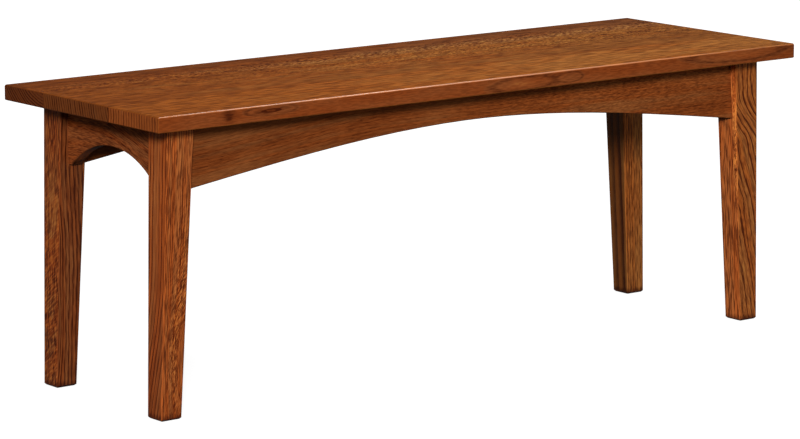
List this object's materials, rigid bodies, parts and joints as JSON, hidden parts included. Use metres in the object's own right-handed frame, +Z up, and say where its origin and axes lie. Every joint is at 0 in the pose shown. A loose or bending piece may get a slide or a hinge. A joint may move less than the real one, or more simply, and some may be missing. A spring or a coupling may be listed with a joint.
{
  "type": "plank seat bench",
  "caption": "Backless mission-style wooden bench: edge-glued plank seat, tapered legs and arched aprons joined by blind mortise and tenon.",
  "frame": {"origin": "on the floor, under the middle of the seat", "axes": "+X along the bench, towards the right seen from the front; +Y from the front to the rear; +Z up"},
  "size_m": [1.24, 0.41, 0.457],
  "materials": {
    "seat_wood": "satin lacquer over golden brown stained oak",
    "leg_wood": "satin lacquer over brown stained oak",
    "apron_wood": "satin lacquer over red brown stained oak",
    "inside_wood": "unfinished oak",
    "screw_steel": "zinc plated"
  },
  "bodies": {
    "root": {"seat_board_front": "seat_wood", "seat_board_middle": "seat_wood", "seat_board_rear": "seat_wood", "apron_front": "apron_wood", "leg_front_left": "leg_wood", "corner_brace_front_left": "inside_wood", "leg_front_right": "leg_wood", "corner_brace_front_right": "inside_wood", "apron_rear": "apron_wood", "leg_rear_left": "leg_wood", "corner_brace_rear_left": "inside_wood", "leg_rear_right": "leg_wood", "corner_brace_rear_right": "inside_wood", "apron_left": "apron_wood", "apron_right": "apron_wood", "middle_rail": "inside_wood", "seat_button_1": "inside_wood", "seat_button_2": "inside_wood", "seat_button_3": "inside_wood", "seat_button_4": "inside_wood", "seat_button_5": "inside_wood", "seat_button_6": "inside_wood", "seat_screws": "screw_steel", "brace_screws": "screw_steel"}
  },
  "joints": []
}
